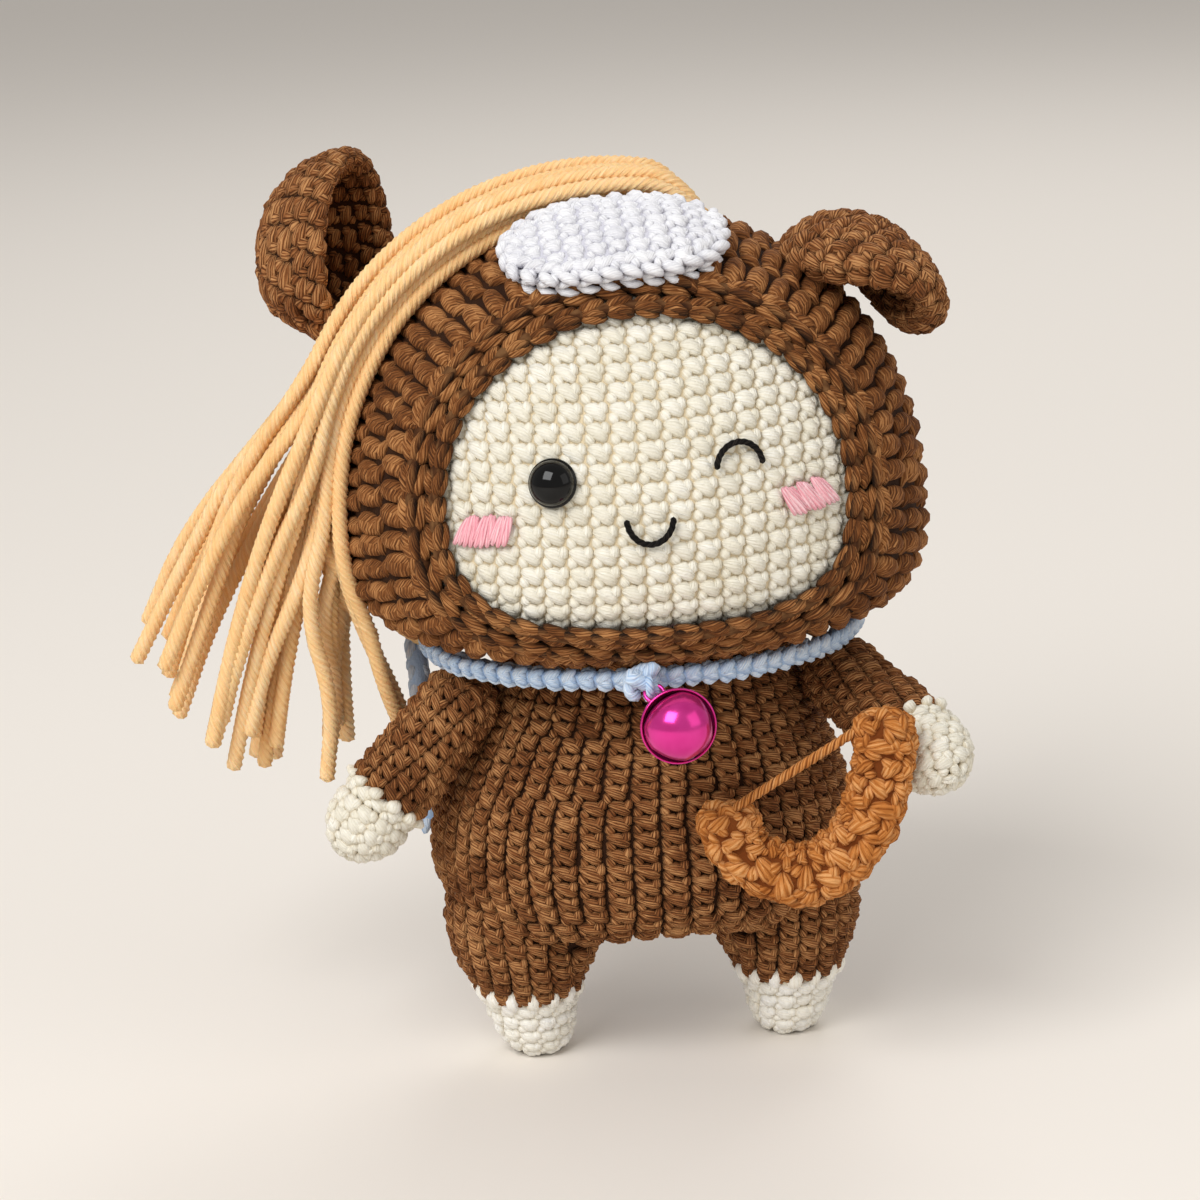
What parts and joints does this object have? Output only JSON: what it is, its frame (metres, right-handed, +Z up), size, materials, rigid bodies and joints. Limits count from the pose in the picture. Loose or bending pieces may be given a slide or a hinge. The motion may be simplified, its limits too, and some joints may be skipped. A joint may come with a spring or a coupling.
{
  "type": "crocheted doll",
  "caption": "Stuffed crocheted doll in a hooded animal suit with curled ears, a yarn mane, a cord collar with a round bell and a small horseshoe in one hand.",
  "frame": {"origin": "middle of the box round the doll, on the floor under its soles, with the loose cord tails left out of the box", "axes": "+Z up along the doll's height, +Y to the doll's back, so the face looks along -Y, and +X to the doll's left"},
  "size_m": [0.1436, 0.0948, 0.1573],
  "materials": {
    "brown_yarn": "crocheted soft yarn, brown with light flecks",
    "cream_yarn": "crocheted soft yarn, cream",
    "white_yarn": "crocheted soft yarn, white",
    "blond_yarn": "plied yarn strands, pale orange",
    "blue_yarn": "chain-stitched yarn cord, light blue",
    "pink_yarn": "satin stitches in yarn, pink",
    "black_yarn": "thin yarn, black",
    "rust_yarn": "crocheted yarn, rust brown",
    "stuffing": "loose polyester fibre, white",
    "black_plastic": "gloss black",
    "washer_plastic": "natural, moulded",
    "magenta_metal": "metallic magenta, polished",
    "pellet_steel": "plain steel"
  },
  "bodies": {
    "body": {"torso": "brown_yarn", "body_stuffing": "stuffing", "right_leg": "brown_yarn", "left_leg": "brown_yarn", "right_foot": "cream_yarn", "left_foot": "cream_yarn", "right_leg_stuffing": "stuffing", "left_leg_stuffing": "stuffing", "collar": "blue_yarn", "collar_knot": "blue_yarn", "collar_back_knot": "blue_yarn", "collar_tail_long": "blue_yarn", "collar_tail_short": "blue_yarn"},
    "head": {"head_ball": "cream_yarn", "head_stuffing": "stuffing", "hood": "brown_yarn", "hood_rim_inner": "brown_yarn", "hood_rim_outer": "brown_yarn", "eye_bead": "black_plastic", "eye_washer": "washer_plastic", "wink_stitch": "black_yarn", "mouth_stitch": "black_yarn", "right_cheek": "pink_yarn", "left_cheek": "pink_yarn", "brow_patch": "white_yarn", "right_ear": "brown_yarn", "left_ear": "brown_yarn", "mane_strand_01": "blond_yarn", "mane_strand_02": "blond_yarn", "mane_strand_03": "blond_yarn", "mane_strand_04": "blond_yarn", "mane_strand_05": "blond_yarn", "mane_strand_06": "blond_yarn", "mane_strand_07": "blond_yarn", "mane_strand_08": "blond_yarn", "mane_strand_09": "blond_yarn", "mane_strand_10": "blond_yarn", "mane_strand_11": "blond_yarn", "mane_strand_12": "blond_yarn", "mane_strand_13": "blond_yarn", "mane_strand_14": "blond_yarn", "mane_strand_15": "blond_yarn", "mane_strand_16": "blond_yarn", "mane_strand_17": "blond_yarn", "mane_strand_18": "blond_yarn"},
    "right_arm": {"right_sleeve": "brown_yarn", "right_hand": "cream_yarn", "right_arm_stuffing": "stuffing"},
    "left_arm": {"left_sleeve": "brown_yarn", "left_hand": "cream_yarn", "left_arm_stuffing": "stuffing", "horseshoe": "rust_yarn", "horseshoe_string": "rust_yarn"},
    "bell": {"bell_front_shell": "magenta_metal", "bell_rear_shell": "magenta_metal", "bell_loop": "magenta_metal"},
    "pellet": {"bell_pellet": "pellet_steel"}
  },
  "joints": [
    {"name": "head_turn", "type": "hinge", "parent": "body", "child": "head", "pos_m": [0.017, 0.00294, 0.075], "axis": [0, 0, 1], "range_deg": [-10, 4]},
    {"name": "right_arm_swing", "type": "hinge", "parent": "body", "child": "right_arm", "pos_m": [-0.01613, -0.00606, 0.0665], "axis": [-1, 0, 0], "range_deg": [-6, 60]},
    {"name": "left_arm_swing", "type": "hinge", "parent": "body", "child": "left_arm", "pos_m": [0.05014, -0.00606, 0.0665], "axis": [-1, 0, 0], "range_deg": [-5, 20]},
    {"name": "bell_swing", "type": "hinge", "parent": "body", "child": "bell", "pos_m": [0.01361, -0.03505, 0.07539], "axis": [1, 0, 0], "range_deg": [-30, 45]},
    {"name": "pellet_slide", "type": "slide", "parent": "bell", "child": "pellet", "axis": [0, 0, 1], "range_m": [0, 0.0022]}
  ]
}
